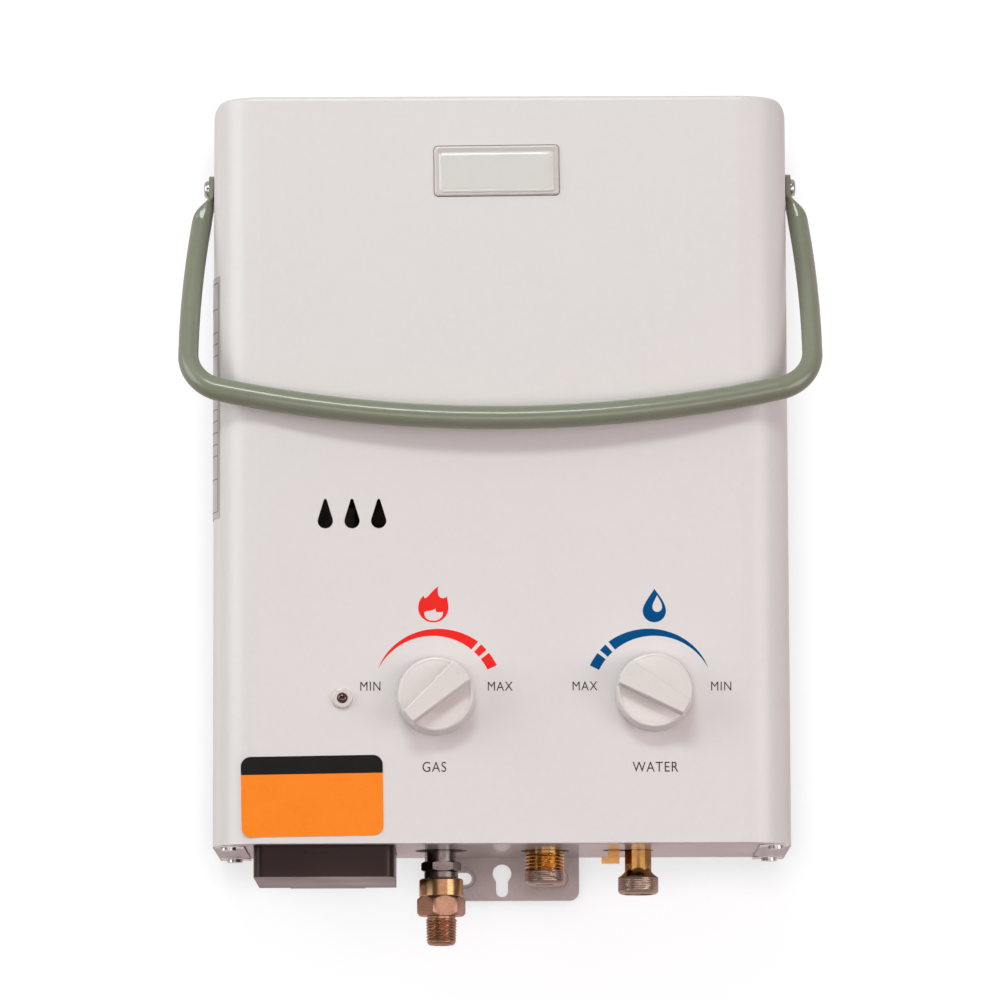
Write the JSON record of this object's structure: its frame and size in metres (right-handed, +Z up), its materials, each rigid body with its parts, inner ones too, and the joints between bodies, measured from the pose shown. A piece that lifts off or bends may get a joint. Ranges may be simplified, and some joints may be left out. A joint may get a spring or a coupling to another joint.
{
  "type": "portable propane water heater",
  "caption": "Upright portable gas water heater: enamelled steel casing with a swing carrying handle, gas and water control knobs, a battery compartment and threaded connections underneath.",
  "frame": {"origin": "middle of the back plate's rear face, level with the bottom edge of the cover", "axes": "+X to the viewer's right seen from the front, +Y out of the back towards the wall or post, +Z up"},
  "size_m": [0.3296, 0.1343, 0.4324],
  "materials": {
    "white_enamel": "gloss powder coat, warm white",
    "plate_enamel": "satin powder coat, pale warm grey",
    "zinc_steel": "bright zinc plated",
    "galvanised": "galvanised sheet",
    "stainless": "satin stainless steel",
    "copper": null,
    "cast_aluminium": "die cast, matt",
    "yellow_brass": "machined yellow brass",
    "forged_brass": "forged brass, pinkish and dull",
    "grey_zinc": "dull grey zinc plating",
    "handle_enamel": "gloss enamel, sage green",
    "handle_polymer": "black nylon",
    "knob_white": "gloss moulded, off-white",
    "badge_face": "gloss enamelled badge, bare",
    "lamp_white": "gloss, white",
    "lamp_red": "clear red lens",
    "box_black": "fine spark texture, brown-black",
    "module_black": "satin, black",
    "orange_label": "printed film, orange under a dark band, blank",
    "silver_label": "printed film, silver with ruled lines, blank",
    "rubber_black": "nitrile, matt",
    "lead_sleeve": "silicone sleeve, black",
    "ceramic": "glazed alumina",
    "cell_jacket": "plain printed jacket, no lettering"
  },
  "bodies": {
    "heater": {"front_cover": "white_enamel", "back_plate": "plate_enamel", "bottom_plate": "plate_enamel", "bottom_screws": "zinc_steel", "exhaust_grille": "stainless", "flue_hood": "galvanised", "heat_exchanger": "copper", "exchanger_tube": "copper", "combustion_chamber": "copper", "chamber_coil": "copper", "burner_frame": "galvanised", "burner_bars": "stainless", "gas_manifold": "cast_aluminium", "injectors": "yellow_brass", "heat_cell_brackets": "galvanised", "valve_bracket": "galvanised", "gas_valve_body": "cast_aluminium", "gas_valve_cap": "cast_aluminium", "gas_valve_spring": "stainless", "diaphragm": "rubber_black", "water_valve_cover": "forged_brass", "water_valve_body": "forged_brass", "valve_screws": "zinc_steel", "micro_switch": "module_black", "gas_solenoid": "grey_zinc", "igniter_module": "module_black", "ignition_electrode": "ceramic", "flame_sensor": "ceramic", "overheat_cutout": "module_black", "ignition_lead": "lead_sleeve", "low_voltage_leads": "lead_sleeve", "battery_box": "box_black", "door_hinge_pin": "zinc_steel", "battery_cells": "cell_jacket", "battery_contacts": "zinc_steel", "led_bezel": "lamp_white", "led_lens": "lamp_red", "handle_bushes": "handle_polymer", "handle_screws": "zinc_steel", "handle_nuts": "zinc_steel", "gas_inlet_nipple": "grey_zinc", "gas_adapter": "forged_brass", "cold_water_inlet": "forged_brass", "inlet_filter": "stainless", "hot_water_outlet": "yellow_brass", "hot_pipe": "copper", "pipe_nuts": "yellow_brass", "badge": "badge_face", "front_label": "orange_label", "rating_label": "silver_label"},
    "handle": {"carry_handle": "handle_enamel"},
    "gas_control": {"gas_knob": "knob_white", "gas_stem": "yellow_brass"},
    "water_control": {"water_knob": "knob_white", "water_stem": "yellow_brass"},
    "valve_plunger": {"push_rod": "stainless", "gas_valve_disc": "rubber_black"},
    "door": {"battery_door": "box_black"},
    "swivel": {"gas_swivel_nut": "yellow_brass"},
    "drain": {"drain_lever": "forged_brass"}
  },
  "joints": [
    {"name": "handle_swing", "type": "hinge", "parent": "heater", "child": "handle", "pos_m": [0, -0.07, 0.3444], "axis": [-1, 0, 0], "range_deg": [0, 292]},
    {"name": "gas_knob_turn", "type": "hinge", "parent": "heater", "child": "gas_control", "pos_m": [-0.0332, -0.1158, 0.0747], "axis": [0, -1, 0], "range_deg": [-11, 109]},
    {"name": "water_knob_turn", "type": "hinge", "parent": "heater", "child": "water_control", "pos_m": [0.0776, -0.1158, 0.0763], "axis": [0, -1, 0], "range_deg": [-120, 0]},
    {"name": "valve_slide", "type": "slide", "parent": "heater", "child": "valve_plunger", "axis": [-1, 0, 0], "range_m": [0, 0.003], "stiffness_N_per_m": 300, "springref_m": -0.003, "deforming": ["gas_valve_spring"]},
    {"name": "battery_door_open", "type": "hinge", "parent": "heater", "child": "door", "pos_m": [-0.09075, -0.0176, -0.012], "axis": [1, 0, 0], "range_deg": [0, 90]},
    {"name": "swivel_nut_turn", "type": "hinge", "parent": "heater", "child": "swivel", "pos_m": [-0.0314, -0.05, -0.0232], "axis": [0, 0, 1], "continuous": true},
    {"name": "drain_lever_turn", "type": "hinge", "parent": "heater", "child": "drain", "pos_m": [0.059, -0.05, -0.004], "axis": [0, 0, 1], "range_deg": [0, 90]}
  ]
}
